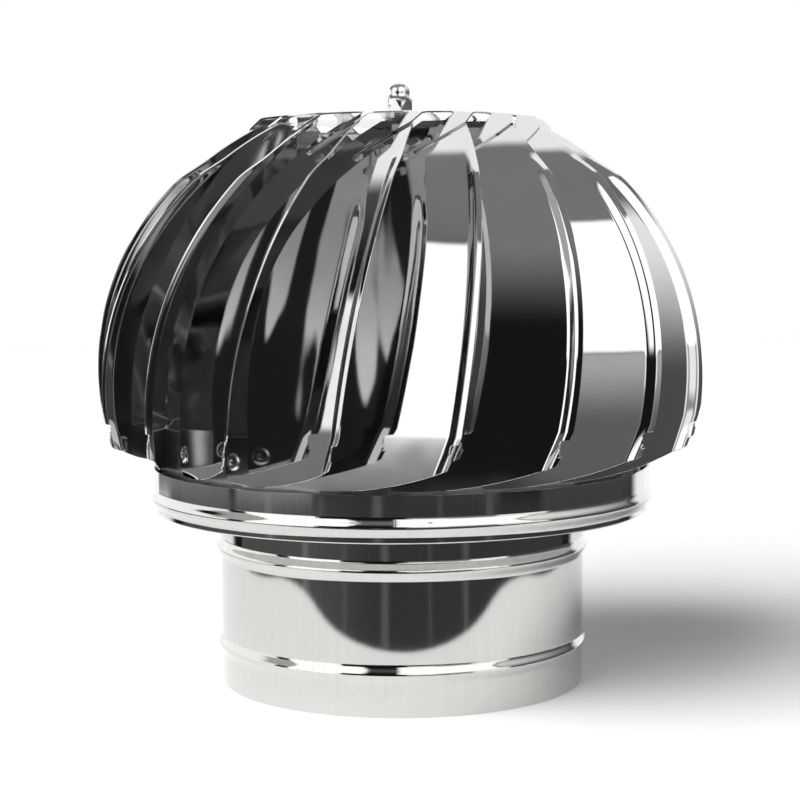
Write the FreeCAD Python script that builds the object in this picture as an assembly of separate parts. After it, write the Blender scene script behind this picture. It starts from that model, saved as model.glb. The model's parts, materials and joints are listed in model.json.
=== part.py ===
import FreeCAD, Part
import math
import os

# Rotating chimney cowl for a round flue, stainless sheet. Millimetres.
# +Z is up, Z is the spin axis, Z = 0 is the lower edge of the spigot, and -Y is the front.
# The base (spigot, pan, bridge, bearing tube) stands still; the louvred rotor turns on a spindle.

# Spigot: plain tube with two rolled beads
SPIGOT_R = 100.0
SPIGOT_WALL = 1.0
SPIGOT_H = 95.0
LOWER_BEAD_Z = 22.0
LOWER_BEAD_PROUD = 1.8
UPPER_BEAD_Z = 75.0
UPPER_BEAD_PROUD = 2.3
SPIGOT_BEAD_H = 7.0

# Pan: floor around the flue with an upstand, and a beaded collar wall
PAN_SHEET = 1.0
PAN_FOOT_R = 134.8
PAN_WALL_R = 136.0
PAN_WALL_H = 24.0
PAN_BEAD_UP = 8.0
PAN_BEAD_H = 7.0
PAN_BEAD_PROUD = 2.4
PAN_UPSTAND_H = 11.0

# Vanes: curved sheet panels with a joggled outer edge
VANE_COUNT = 18
VANE_PHASE = -8.0
VANE_SHEET = 0.8
VANE_OFFSET = 128.6
VANE_STRAIGHT = 30.2
VANE_ARC_R = 183.0
VANE_ARC_DEG = 56.5
VANE_INNER_W = 10.0
VANE_INNER_TAPER = 28.0
VANE_TAPER_START = 90.0
VANE_EDGE_W = 105.7
VANE_EDGE_R = 236.0
VANE_EDGE_MID = 75.3
VANE_FOOT_R = 201.0
VANE_FOOT_W = 20.0
VANE_CORNER_CUT = 4.0
JOGGLE_RISE = 2.4
JOGGLE_RAMP = 4.3
JOGGLE_HEM = 3.1
JOGGLE_START = 25.3
JOGGLE_END = 183.3
JOGGLE_FADE = 22.0
NOTCH_FROM_BEND = 3.0
TIP_TRIM = 1.0
FOOT_STATIONS = 3
JOGGLE_STATIONS = 9
FADE_STATIONS = 6
TIP_STATIONS = 4

# Ring that ties the vane feet together
RING_SHEET = 1.0
RING_H = 28.0
RING_DIP = 6.7

# Crown: domed disc with one bent tab per vane
CROWN_SHEET = 1.0
CROWN_DOME_R = 66.0
CROWN_DOME_RISE = 3.1
DOME_MIDDLE_SHARE = 0.25
CROWN_SEAT_R = 10.0
TAB_TIP_W = 65.0
TAB_REACH_OUT = 4.7
TAB_SLIT = 0.6
TAB_SEAT_GAP = 0.1
TAB_OVERLAP = 3.0
CROWN_RISE = 4.0

# Rivets
RING_RIVET_R = 2.4
RING_RIVET_HEAD_R = 4.75
RING_RIVET_HEAD_H = 1.4
RING_RIVET_W = 17.0
RING_RIVET_UP = 11.3
TAB_RIVET_R = 1.6
TAB_RIVET_HEAD_R = 3.25
TAB_RIVET_HEAD_H = 1.0
TAB_RIVET_FROM_SLIT = 4.5930
TAB_RIVET_OUT = 13.1
RIVET_TAIL = 1.2
RIVET_PLAY = 0.06
RIVET_TOP_SHARE = 0.6
RIVET_BORE_SHARE = 0.32
RIVET_BORE_DEPTH = 0.7
RIVET_HOLE_REACH = 5.6

# Spindle, nuts and washers
SPINDLE_R = 4.0
NUT_FLATS = 13.0
NUT_H = 6.5
NUT_CHAMFER_DEG = 30.0
CAP_DOME_R = 6.25
CAP_H = 15.7
CAP_THREAD_DEPTH = 11.5
WASHER_R = 8.0
WASHER_H = 1.6
THREAD_PLAY = 0.05
SPINDLE_TAIL = 3.0
SPINDLE_LEAD = 0.5

# Bearings, their tube and the bridge that carries it
BEARING_R = 11.0
BEARING_W = 7.0
BEARING_INNER_R = 6.05
BEARING_OUTER_WALL = 1.55
BEARING_SHIELD = 0.5
BEARING_GAP = 0.3
SEAT_PLAY = 0.05
SLEEVE_R = 5.9
SLEEVE_OUT = 1.0
CIRCLIP_H = 1.0
CIRCLIP_GAP = 6.0
TUBE_R = 14.0
TUBE_LENGTH = 112.0
TUBE_LIP = 2.0
TUBE_WAIST_WALL = 1.6
BRIDGE_DROP = 14.0
BRIDGE_THICK = 3.0
BRIDGE_WIDTH = 30.0
BRIDGE_TAB_H = 26.0
WELD_GAP = 0.05

# Clearance between the pan's rim and the turning vanes
RUN_GAP = 0.7

# Levels worked out from the sizes above
PAN_RIM_Z = SPIGOT_H + PAN_WALL_H
VANE_FOOT_Z = PAN_RIM_Z + RUN_GAP
BEND_Z = VANE_FOOT_Z + VANE_STRAIGHT
ARC_U = VANE_OFFSET - VANE_ARC_R
ARC_END = VANE_STRAIGHT + VANE_ARC_R * math.radians(VANE_ARC_DEG)
VANE_TOP_Z = BEND_Z + VANE_ARC_R * math.sin(math.radians(VANE_ARC_DEG))
CROWN_TOP_Z = VANE_TOP_Z + CROWN_RISE
CENTRE_TOP_Z = CROWN_TOP_Z + CROWN_DOME_RISE
PITCH = 360.0 / VANE_COUNT
PITCH_COS = math.cos(math.radians(PITCH))
PITCH_SIN = math.sin(math.radians(PITCH))
TAB_IN_R = VANE_ARC_R + TAB_SEAT_GAP
TAB_OUT_R = TAB_IN_R + CROWN_SHEET
TAB_BEND_U = ARC_U + math.sqrt(TAB_OUT_R ** 2 - (CROWN_TOP_Z - BEND_Z) ** 2)
SLIT_ROOT_U = (TAB_BEND_U - TAB_TIP_W * PITCH_SIN) / PITCH_COS
TAB_RIVET_U = TAB_BEND_U + TAB_RIVET_OUT
TAB_RIVET_W = (TAB_TIP_W + TAB_SLIT + TAB_RIVET_FROM_SLIT - TAB_RIVET_U * PITCH_SIN) / PITCH_COS
TAB_REACH_R = math.hypot(TAB_RIVET_W, TAB_RIVET_U) + TAB_REACH_OUT
BRIDGE_Z = SPIGOT_H - BRIDGE_DROP
TUBE_Z = BRIDGE_Z
LOWER_SEAT_Z = TUBE_Z + TUBE_LIP
UPPER_SEAT_Z = TUBE_Z + TUBE_LENGTH - TUBE_LIP - BEARING_W
SLEEVE_H = TUBE_LIP + SLEEVE_OUT
THRUST_NUT_Z = UPPER_SEAT_Z + BEARING_W + SLEEVE_H
LOCK_NUT_Z = LOWER_SEAT_Z - SLEEVE_H - NUT_H
CAP_Z = CENTRE_TOP_Z + WASHER_H

ORIGIN = FreeCAD.Vector(0, 0, 0)
UP = FreeCAD.Vector(0, 0, 1)


def vec(x, y, z):
    return FreeCAD.Vector(x, y, z)


def polygon_face(points):
    return Part.Face(Part.makePolygon(points + points[:1]))


def turned(profile):
    """Revolve a closed (radius, z) profile; an entry with two more numbers starts an arc through them."""
    edges = []
    for start, end in zip(profile, profile[1:] + profile[:1]):
        first = vec(start[0], 0, start[1])
        last = vec(end[0], 0, end[1])
        if len(start) == 4:
            middle = vec(start[2], 0, start[3])
            edges.append(Part.Arc(first, middle, last).toShape())
        else:
            edges.append(Part.LineSegment(first, last).toShape())
    return Part.Face(Part.Wire(edges)).revolve(ORIGIN, UP, 360)


def ring_solid(r_in, r_out, z, height):
    return turned([(r_in, z), (r_out, z), (r_out, z + height), (r_in, z + height)])


def around(shape, index):
    """A copy of a shape made at the front, turned to the place of vane number index."""
    copy = shape.copy()
    copy.rotate(ORIGIN, UP, VANE_PHASE + PITCH * index)
    return copy


def vane_point(w, u, z):
    """Vane axes to part axes: w along the panel, u outwards, z up."""
    return vec(w, -u, z)


def save(name, shape):
    shape.exportStep("parts/" + name + ".step")
    print(name, len(shape.Solids), "solid(s)", "valid" if shape.isValid() else "NOT VALID")


# Base pieces

def bead(radius, z, height, proud):
    """Start of an outward bead for turned(): the arc's first point with its middle point."""
    return (radius, z - height / 2, radius + proud, z)


def bead_down(radius, z, height, proud):
    return (radius, z + height / 2, radius + proud, z)


def base_spigot():
    inner = SPIGOT_R - SPIGOT_WALL
    half = SPIGOT_BEAD_H / 2
    return turned([
        (SPIGOT_R, 0),
        bead(SPIGOT_R, LOWER_BEAD_Z, SPIGOT_BEAD_H, LOWER_BEAD_PROUD),
        (SPIGOT_R, LOWER_BEAD_Z + half),
        bead(SPIGOT_R, UPPER_BEAD_Z, SPIGOT_BEAD_H, UPPER_BEAD_PROUD),
        (SPIGOT_R, UPPER_BEAD_Z + half),
        (SPIGOT_R, SPIGOT_H),
        (inner, SPIGOT_H),
        bead_down(inner, UPPER_BEAD_Z, SPIGOT_BEAD_H, UPPER_BEAD_PROUD),
        (inner, UPPER_BEAD_Z - half),
        bead_down(inner, LOWER_BEAD_Z, SPIGOT_BEAD_H, LOWER_BEAD_PROUD),
        (inner, LOWER_BEAD_Z - half),
        (inner, 0),
    ])


def collar_pan():
    """Floor, upstand around the flue mouth, and the beaded wall, spun from one sheet."""
    mouth = SPIGOT_R - SPIGOT_WALL
    floor = SPIGOT_H + PAN_SHEET
    bead_z = SPIGOT_H + PAN_BEAD_UP
    half = PAN_BEAD_H / 2
    proud = PAN_FOOT_R + PAN_BEAD_PROUD
    foot_in = PAN_FOOT_R - PAN_SHEET
    wall_in = PAN_WALL_R - PAN_SHEET
    return turned([
        (mouth, SPIGOT_H),
        (PAN_FOOT_R, SPIGOT_H),
        (PAN_FOOT_R, bead_z - half, proud, bead_z),
        (PAN_WALL_R, bead_z + half),
        (PAN_WALL_R, PAN_RIM_Z),
        (wall_in, PAN_RIM_Z),
        (wall_in, bead_z + half, proud - PAN_SHEET, bead_z),
        (foot_in, bead_z - half),
        (foot_in, floor),
        (mouth + PAN_SHEET, floor),
        (mouth + PAN_SHEET, SPIGOT_H + PAN_UPSTAND_H),
        (mouth, SPIGOT_H + PAN_UPSTAND_H),
    ])


def bearing_bridge():
    """Flat bar across the flue with both ends turned down and welded to the spigot."""
    reach = SPIGOT_R - SPIGOT_WALL - WELD_GAP
    strip_z = BRIDGE_Z + BRIDGE_THICK
    outer = Part.makeCylinder(reach, BRIDGE_THICK, vec(0, 0, BRIDGE_Z))
    bar = Part.makeBox(2 * reach, BRIDGE_WIDTH, BRIDGE_THICK, vec(-reach, -BRIDGE_WIDTH / 2, BRIDGE_Z))
    bar = bar.common(outer)
    ends = ring_solid(reach - BRIDGE_THICK, reach, BRIDGE_Z - BRIDGE_TAB_H + BRIDGE_THICK, BRIDGE_TAB_H)
    slot = Part.makeBox(2 * reach, BRIDGE_WIDTH, BRIDGE_TAB_H,
                        vec(-reach, -BRIDGE_WIDTH / 2, strip_z - BRIDGE_TAB_H))
    hole = Part.makeCylinder(TUBE_R + WELD_GAP, BRIDGE_THICK, vec(0, 0, BRIDGE_Z))
    return bar.fuse(ends.common(slot)).removeSplitter().cut(hole)


def bearing_tube():
    """Turned housing: a bearing seat at each end, each behind a lip, with a thinned waist bore."""
    seat = BEARING_R + SEAT_PLAY
    waist = BEARING_R - TUBE_WAIST_WALL
    lip = BEARING_R - BEARING_OUTER_WALL
    top = TUBE_Z + TUBE_LENGTH
    return turned([
        (seat, TUBE_Z),
        (TUBE_R, TUBE_Z),
        (TUBE_R, top),
        (seat, top),
        (seat, UPPER_SEAT_Z),
        (lip, UPPER_SEAT_Z),
        (waist, UPPER_SEAT_Z - TUBE_LIP),
        (waist, LOWER_SEAT_Z + BEARING_W + TUBE_LIP),
        (lip, LOWER_SEAT_Z + BEARING_W),
        (seat, LOWER_SEAT_Z + BEARING_W),
    ])


def bearing_outer(seat_z):
    """Outer ring of a shielded ball bearing, its two shields reaching in to the inner ring."""
    raceway = BEARING_R - BEARING_OUTER_WALL
    shield_in = BEARING_INNER_R + BEARING_GAP
    top = seat_z + BEARING_W
    return turned([
        (shield_in, seat_z),
        (BEARING_R, seat_z),
        (BEARING_R, top),
        (shield_in, top),
        (shield_in, top - BEARING_SHIELD),
        (raceway, top - BEARING_SHIELD),
        (raceway, seat_z + BEARING_SHIELD),
        (shield_in, seat_z + BEARING_SHIELD),
    ])


def bearing_circlip(z):
    """Internal retaining ring, open at its gap."""
    inner = BEARING_R - BEARING_OUTER_WALL
    body = ring_solid(inner, BEARING_R + SEAT_PLAY - WELD_GAP, z, CIRCLIP_H)
    gap = Part.makeBox(CIRCLIP_GAP, BEARING_R * 2, CIRCLIP_H, vec(-CIRCLIP_GAP / 2, 0, z))
    return body.cut(gap)


# Rotor pieces

def profile_at(s):
    """Panel outer face at developed length s from the foot: u, z and the slope angle."""
    if s <= VANE_STRAIGHT:
        return VANE_OFFSET, VANE_FOOT_Z + s, 0.0
    angle = (s - VANE_STRAIGHT) / VANE_ARC_R
    return ARC_U + VANE_ARC_R * math.cos(angle), BEND_Z + VANE_ARC_R * math.sin(angle), angle


def edge_w(s):
    """Outer outline of the flat blank: one large arc."""
    rise = s - VANE_EDGE_MID
    return VANE_EDGE_W - VANE_EDGE_R + math.sqrt(VANE_EDGE_R ** 2 - rise ** 2)


def inner_w(s):
    """Inner outline: straight up from the ring, then swept towards the crown."""
    share = max(0.0, (s - VANE_TAPER_START) / (ARC_END - VANE_TAPER_START))
    return VANE_INNER_W + VANE_INNER_TAPER * share ** 2


def vane_section(s, corners):
    """Closed section at s from (w, height over the outer face) corners."""
    u, z, angle = profile_at(s)
    points = []
    for w, rise in corners:
        points.append(vane_point(w, u + rise * math.cos(angle), z + rise * math.sin(angle)))
    return Part.makePolygon(points + points[:1])


def pressed_share(s):
    """How much of the joggle is pressed at s: all of it, then softly none at its upper end."""
    share = min(1.0, max(0.0, (JOGGLE_END - s) / JOGGLE_FADE))
    return share * share * (3 - 2 * share)


def joggled_corners(s):
    pressed = pressed_share(s)
    rise = JOGGLE_RISE * pressed
    start = inner_w(s)
    bend = edge_w(s) - JOGGLE_RAMP - JOGGLE_HEM
    ramp_end = bend + JOGGLE_RAMP
    hem_end = ramp_end + JOGGLE_HEM - TIP_TRIM * (1 - pressed)
    lean = VANE_SHEET * math.tan(math.atan2(rise, JOGGLE_RAMP) / 2)
    under = rise - VANE_SHEET
    return [(start, 0), (bend, 0), (ramp_end, rise), (hem_end, rise),
            (hem_end, under), (ramp_end + lean, under), (bend + lean, -VANE_SHEET), (start, -VANE_SHEET)]


def plain_corners(s):
    start = inner_w(s)
    end = edge_w(s) - TIP_TRIM
    return [(start, 0), (end, 0), (end, -VANE_SHEET), (start, -VANE_SHEET)]


def stations(first, last, count):
    return [first + (last - first) * i / (count - 1) for i in range(count)]


def vane_blank():
    """Four lofts: the upright foot, the curved joggled panel, the joggle's fading end, the plain tip."""
    fade_start = JOGGLE_END - JOGGLE_FADE
    foot = stations(0.0, VANE_STRAIGHT, FOOT_STATIONS)
    curved = stations(VANE_STRAIGHT, fade_start, JOGGLE_STATIONS)
    fading = stations(fade_start, JOGGLE_END, FADE_STATIONS)
    plain = stations(JOGGLE_END, ARC_END, TIP_STATIONS)
    lofts = [Part.makeLoft([vane_section(s, joggled_corners(s)) for s in part], True)
             for part in (foot, curved, fading)]
    lofts.append(Part.makeLoft([vane_section(s, plain_corners(s)) for s in plain], True))
    return lofts[0].multiFuse(lofts[1:])


def vane():
    blank = vane_blank()
    depth = 2 * VANE_OFFSET
    foot = Part.makeCylinder(VANE_FOOT_R, depth, vane_point(VANE_FOOT_W, 0, VANE_FOOT_Z + VANE_FOOT_R),
                             vec(0, -1, 0))
    blank = blank.common(foot)
    notch_w = edge_w(JOGGLE_START) - JOGGLE_RAMP - JOGGLE_HEM + NOTCH_FROM_BEND
    notch = Part.makeBox(VANE_EDGE_W, depth, JOGGLE_START, vane_point(notch_w, depth, VANE_FOOT_Z))
    low_z = VANE_FOOT_Z
    corner = polygon_face([vane_point(VANE_INNER_W, 0, low_z),
                           vane_point(VANE_INNER_W + VANE_CORNER_CUT, 0, low_z),
                           vane_point(VANE_INNER_W, 0, low_z + VANE_CORNER_CUT)]).extrude(vec(0, -depth, 0))
    return blank.cut(notch).cut(corner).cut(ring_rivet_hole()).cut(tab_rivet_hole())


def rivet(shank_r, head_r, head_h, grip):
    """Set blind rivet along Z: bored head above Z = 0, shank through the grip, flared tail below it."""
    tail_r = (shank_r + head_r) / 2
    bore_r = head_r * RIVET_BORE_SHARE
    bore_z = head_h - RIVET_BORE_DEPTH
    return turned([
        (0, bore_z),
        (0, -grip - RIVET_TAIL),
        (tail_r, -grip - RIVET_TAIL),
        (tail_r, -grip),
        (shank_r, -grip),
        (shank_r, 0),
        (head_r, 0),
        (head_r * RIVET_TOP_SHARE, head_h),
        (bore_r, head_h),
        (bore_r, bore_z),
    ])


def flush_rivet(shank_r, head_r, head_h, grip):
    """Rivet along Z that is flush at Z = 0, with its low head on the far side of the grip."""
    return turned([
        (0, 0),
        (0, -grip - head_h),
        (head_r * RIVET_TOP_SHARE, -grip - head_h),
        (head_r, -grip),
        (shank_r, -grip),
        (shank_r, 0),
    ])


def set_on_vane(shape, w, u, z, angle):
    """Stand a shape made along Z on a vane, its Z along the panel's outward normal."""
    placed = shape.copy()
    placed.rotate(ORIGIN, vec(1, 0, 0), 90 - math.degrees(angle))
    placed.translate(vane_point(w, u, z))
    return placed


def at_ring_rivet(shape):
    return set_on_vane(shape, RING_RIVET_W, VANE_OFFSET, VANE_FOOT_Z + RING_RIVET_UP, 0.0)


def at_tab_rivet(shape):
    """The place on the outer face of a crown tab, on the vane's arc."""
    angle = math.acos((TAB_RIVET_U - ARC_U) / TAB_OUT_R)
    return set_on_vane(shape, TAB_RIVET_W, TAB_RIVET_U, BEND_Z + TAB_OUT_R * math.sin(angle), angle)


def hole_tool(radius):
    return Part.makeCylinder(radius + RIVET_PLAY, 2 * RIVET_HOLE_REACH, vec(0, 0, -RIVET_HOLE_REACH))


def ring_rivet_hole():
    return at_ring_rivet(hole_tool(RING_RIVET_R))


def tab_rivet_hole():
    return at_tab_rivet(hole_tool(TAB_RIVET_R))


def rotor_ring():
    """Band with one flat per vane, so that each foot seats on a flat."""
    flat = VANE_OFFSET - VANE_SHEET
    half = math.radians(PITCH / 2)
    low = VANE_FOOT_Z - RING_DIP

    def band(apothem):
        corners = []
        for index in range(VANE_COUNT):
            turn = math.radians(VANE_PHASE + PITCH * index) + half
            radius = apothem / math.cos(half)
            corners.append(vec(radius * math.sin(turn), -radius * math.cos(turn), low))
        return polygon_face(corners).extrude(vec(0, 0, RING_H))

    ring = band(flat).cut(band(flat - RING_SHEET))
    holes = [around(ring_rivet_hole(), index) for index in range(VANE_COUNT)]
    return ring.cut(Part.makeCompound(holes))


def crown_tab():
    """One tab: a strip of the vane's arc, cut in plan by its own edge and its neighbour's slit."""
    far = 2 * TAB_REACH_R

    def beside_slit(u):
        edge = TAB_TIP_W + TAB_SLIT
        return vane_point(edge * PITCH_COS - u * PITCH_SIN, u * PITCH_COS + edge * PITCH_SIN, BEND_Z)

    root_u = TAB_BEND_U - TAB_OVERLAP
    plan = polygon_face([
        beside_slit((root_u - TAB_TIP_W * PITCH_SIN) / PITCH_COS),
        beside_slit(far),
        vane_point(TAB_TIP_W, far, BEND_Z),
        vane_point(TAB_TIP_W, root_u, BEND_Z),
    ]).extrude(vec(0, 0, CROWN_TOP_Z - BEND_Z))
    length = 2 * far
    axis_foot = vane_point(-far, ARC_U, BEND_Z)
    band = Part.makeCylinder(TAB_OUT_R, length, axis_foot, vec(1, 0, 0))
    band = band.cut(Part.makeCylinder(TAB_IN_R, length, axis_foot, vec(1, 0, 0)))
    reach = Part.makeCylinder(TAB_REACH_R, CROWN_TOP_Z)
    return plan.common(band).common(reach).cut(tab_rivet_hole())


def crown_cap():
    """Domed disc with a saw-tooth rim, one bent tab from each tooth, and the spindle hole."""
    low = CROWN_TOP_Z - CROWN_SHEET
    rim = []
    for index in range(VANE_COUNT):
        turn = math.radians(VANE_PHASE + PITCH * index)
        for u in (TAB_BEND_U, SLIT_ROOT_U):
            x = TAB_TIP_W * math.cos(turn) + u * math.sin(turn)
            y = TAB_TIP_W * math.sin(turn) - u * math.cos(turn)
            rim.append(vec(x, y, low))
    disc = polygon_face(rim).extrude(vec(0, 0, CROWN_SHEET))
    disc = disc.cut(Part.makeCylinder(CROWN_DOME_R, CROWN_SHEET, vec(0, 0, low)))
    hole = SPINDLE_R + THREAD_PLAY
    middle = (CROWN_DOME_R + CROWN_SEAT_R) / 2
    middle_z = CENTRE_TOP_Z - CROWN_DOME_RISE * DOME_MIDDLE_SHARE
    seat_z = CENTRE_TOP_Z - CROWN_SHEET
    dome = turned([
        (CROWN_DOME_R, low),
        (CROWN_DOME_R, CROWN_TOP_Z, middle, middle_z),
        (CROWN_SEAT_R, CENTRE_TOP_Z),
        (hole, CENTRE_TOP_Z),
        (hole, seat_z),
        (CROWN_SEAT_R, seat_z, middle, middle_z - CROWN_SHEET),
    ])
    tab = crown_tab()
    tabs = [around(tab, index) for index in range(VANE_COUNT)]
    return disc.multiFuse([dome] + tabs).removeSplitter()


def ring_rivets():
    one = at_ring_rivet(rivet(RING_RIVET_R, RING_RIVET_HEAD_R, RING_RIVET_HEAD_H, VANE_SHEET + RING_SHEET))
    return Part.makeCompound([around(one, index) for index in range(VANE_COUNT)])


def crown_rivets():
    grip = CROWN_SHEET + TAB_SEAT_GAP + VANE_SHEET + RIVET_PLAY
    one = at_tab_rivet(flush_rivet(TAB_RIVET_R, TAB_RIVET_HEAD_R, TAB_RIVET_HEAD_H, grip))
    return Part.makeCompound([around(one, index) for index in range(VANE_COUNT)])


def spindle():
    low = LOCK_NUT_Z - SPINDLE_TAIL
    top = CAP_Z + CAP_THREAD_DEPTH - 2 * THREAD_PLAY
    tip_r = SPINDLE_R - SPINDLE_LEAD
    return turned([(0, low), (tip_r, low), (SPINDLE_R, low + SPINDLE_LEAD),
                   (SPINDLE_R, top - SPINDLE_LEAD), (tip_r, top), (0, top)])


def on_spindle(r_out, z, height):
    """Washer, sleeve or bearing inner ring that sits on the spindle."""
    return ring_solid(SPINDLE_R + THREAD_PLAY, r_out, z, height)


def hexagon(z, height):
    corner = NUT_FLATS / 2 / math.cos(math.radians(30))
    points = [vec(corner * math.cos(math.radians(60 * i)), corner * math.sin(math.radians(60 * i)), z)
              for i in range(6)]
    return polygon_face(points).extrude(vec(0, 0, height))


def chamfered(radius, z, height, top_only):
    """Turned blank that rounds off a hexagon's corners."""
    corner = NUT_FLATS / 2 / math.cos(math.radians(30))
    flat = NUT_FLATS / 2 - THREAD_PLAY
    drop = (corner - flat) * math.tan(math.radians(NUT_CHAMFER_DEG))
    foot = corner if top_only else flat
    foot_up = 0 if top_only else drop
    profile = [(radius, z), (foot, z)]
    if foot_up:
        profile.append((corner, z + foot_up))
    profile += [(corner, z + height - drop), (flat, z + height), (radius, z + height)]
    return turned(profile)


def hex_nut(z):
    return hexagon(z, NUT_H).common(chamfered(SPINDLE_R + THREAD_PLAY, z, NUT_H, False))


def cap_nut():
    """Acorn nut: a hexagon with a domed cap and a blind thread."""
    z = CAP_Z
    body = hexagon(z, NUT_H).common(chamfered(0, z, NUT_H, True))
    shoulder = z + CAP_H - CAP_DOME_R
    root = CAP_DOME_R * math.cos(math.radians(45))
    dome = turned([(0, z + NUT_H), (CAP_DOME_R, z + NUT_H), (CAP_DOME_R, shoulder, root, shoulder + root),
                   (0, z + CAP_H)])
    thread = Part.makeCylinder(SPINDLE_R + THREAD_PLAY, CAP_THREAD_DEPTH, vec(0, 0, z))
    return body.fuse(dome).removeSplitter().cut(thread)


# Write one file per piece

os.makedirs("parts", exist_ok=True)

save("base_spigot", base_spigot())
save("collar_pan", collar_pan())
save("bearing_bridge", bearing_bridge())
save("bearing_tube", bearing_tube())
save("lower_bearing_outer", bearing_outer(LOWER_SEAT_Z))
save("upper_bearing_outer", bearing_outer(UPPER_SEAT_Z))
save("bearing_circlips", Part.makeCompound([bearing_circlip(LOWER_SEAT_Z - CIRCLIP_H),
                                            bearing_circlip(UPPER_SEAT_Z + BEARING_W)]))

save("spindle", spindle())
save("lower_bearing_inner", on_spindle(BEARING_INNER_R, LOWER_SEAT_Z, BEARING_W))
save("upper_bearing_inner", on_spindle(BEARING_INNER_R, UPPER_SEAT_Z, BEARING_W))
save("lower_sleeve", on_spindle(SLEEVE_R, LOWER_SEAT_Z - SLEEVE_H, SLEEVE_H))
save("upper_sleeve", on_spindle(SLEEVE_R, UPPER_SEAT_Z + BEARING_W, SLEEVE_H))
save("lock_nut", hex_nut(LOCK_NUT_Z))
save("thrust_nut", hex_nut(THRUST_NUT_Z))
save("crown_under_nut", hex_nut(CENTRE_TOP_Z - CROWN_SHEET - WASHER_H - NUT_H))
save("crown_under_washer", on_spindle(WASHER_R, CENTRE_TOP_Z - CROWN_SHEET - WASHER_H, WASHER_H))
save("crown_washer", on_spindle(WASHER_R, CENTRE_TOP_Z, WASHER_H))
save("cap_nut", cap_nut())
save("crown_cap", crown_cap())
save("rotor_ring", rotor_ring())
vane_shape = vane()
for number in range(VANE_COUNT):
    save("vane_%02d" % (number + 1), around(vane_shape, number))
save("crown_rivets", crown_rivets())
save("ring_rivets", ring_rivets())
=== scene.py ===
# %% [markdown]
# # A rotating chimney cowl in polished stainless steel
# The cowl has a fixed base, which is a beaded spigot with a collar pan, and a rotor of curved vanes that
# spins above it. The CAD model gives every piece its place and size. This lesson dresses it: smooth
# sheets that can carry mirror reflections, rivets, steel finishes, a small studio and a camera.

# %% Load the frame
import json
import math

import bpy
from mathutils import Matrix, Vector

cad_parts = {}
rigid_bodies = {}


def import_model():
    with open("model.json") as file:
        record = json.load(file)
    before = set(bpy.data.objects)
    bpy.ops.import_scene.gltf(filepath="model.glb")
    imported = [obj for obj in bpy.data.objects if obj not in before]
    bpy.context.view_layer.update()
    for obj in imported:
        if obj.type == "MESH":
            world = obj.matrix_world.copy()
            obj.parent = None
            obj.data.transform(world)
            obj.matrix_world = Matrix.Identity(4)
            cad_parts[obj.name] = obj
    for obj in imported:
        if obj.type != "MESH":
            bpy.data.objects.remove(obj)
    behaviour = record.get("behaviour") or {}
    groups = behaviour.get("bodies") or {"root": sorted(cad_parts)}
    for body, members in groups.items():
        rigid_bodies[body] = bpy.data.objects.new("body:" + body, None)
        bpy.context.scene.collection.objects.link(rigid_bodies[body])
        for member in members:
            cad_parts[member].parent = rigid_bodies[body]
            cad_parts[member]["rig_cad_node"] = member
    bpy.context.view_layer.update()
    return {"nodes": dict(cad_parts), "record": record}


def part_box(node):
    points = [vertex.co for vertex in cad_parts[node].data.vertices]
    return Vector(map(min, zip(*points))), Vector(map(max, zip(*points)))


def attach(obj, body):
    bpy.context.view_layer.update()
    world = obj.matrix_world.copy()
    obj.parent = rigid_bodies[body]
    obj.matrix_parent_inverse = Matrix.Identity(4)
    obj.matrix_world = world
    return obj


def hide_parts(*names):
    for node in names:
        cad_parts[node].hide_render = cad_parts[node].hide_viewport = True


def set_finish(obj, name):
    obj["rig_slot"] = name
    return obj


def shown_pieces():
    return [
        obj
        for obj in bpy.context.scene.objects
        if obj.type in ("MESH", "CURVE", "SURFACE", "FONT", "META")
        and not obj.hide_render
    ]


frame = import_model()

nodes = frame["nodes"]

# %% [markdown]
# ## Sizes of the real pieces
# Blender works in metres and a sheet-metal drawing in millimetres, so one factor turns the drawing's
# numbers into Blender's. The levels come from the boxes of the CAD nodes where a box can give them.

# %% Drawing sizes
MM = 0.001

SPIGOT_R = 100 * MM
SPIGOT_WALL = 1.0 * MM
SPIGOT_BEADS = ((22 * MM, 1.8 * MM), (75 * MM, 2.3 * MM))
BEAD_H = 7.0 * MM

PAN_FOOT_R = 134.8 * MM
PAN_WALL_R = 136.0 * MM
PAN_BEAD_UP = 8.0 * MM
PAN_BEAD_PROUD = 2.4 * MM
PAN_UPSTAND_H = 11.0 * MM
PAN_SHEET = 1.0 * MM

VANE_COUNT = 18
VANE_PHASE = math.radians(-8)
VANE_PITCH = 2 * math.pi / VANE_COUNT
VANE_SHEET = 0.8 * MM
VANE_OFFSET = 128.6 * MM
VANE_STRAIGHT = 30.2 * MM
VANE_ARC_R = 183.0 * MM
VANE_ARC = math.radians(56.5)

spigot_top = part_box("base_spigot")[1].z
pan_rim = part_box("collar_pan")[1].z
vane_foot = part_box("vane_01")[0].z
bend_z = vane_foot + VANE_STRAIGHT
arc_u = VANE_OFFSET - VANE_ARC_R
vane_length = VANE_STRAIGHT + VANE_ARC_R * VANE_ARC
print("levels in mm:", [round(v / MM, 1) for v in (spigot_top, pan_rim, vane_foot, bend_z)])


# %% [markdown]
# ## Working by hand, in code
# Operators act on what is selected, so every piece starts from an empty selection. These helpers do what
# a hand does again and again: clear the selection, finish a piece with its modifiers, and hang it on the
# body it moves with.

# %% Helpers for modelling
def clear_selection():
    if bpy.context.object and bpy.context.object.mode != "OBJECT":
        bpy.ops.object.mode_set(mode="OBJECT")
    for item in bpy.context.selected_objects:
        item.select_set(False)


def make_active(piece):
    clear_selection()
    piece.select_set(True)
    bpy.context.view_layer.objects.active = piece


def apply_modifiers(piece):
    make_active(piece)
    for modifier in list(piece.modifiers):
        bpy.ops.object.modifier_apply(modifier=modifier.name)


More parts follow.
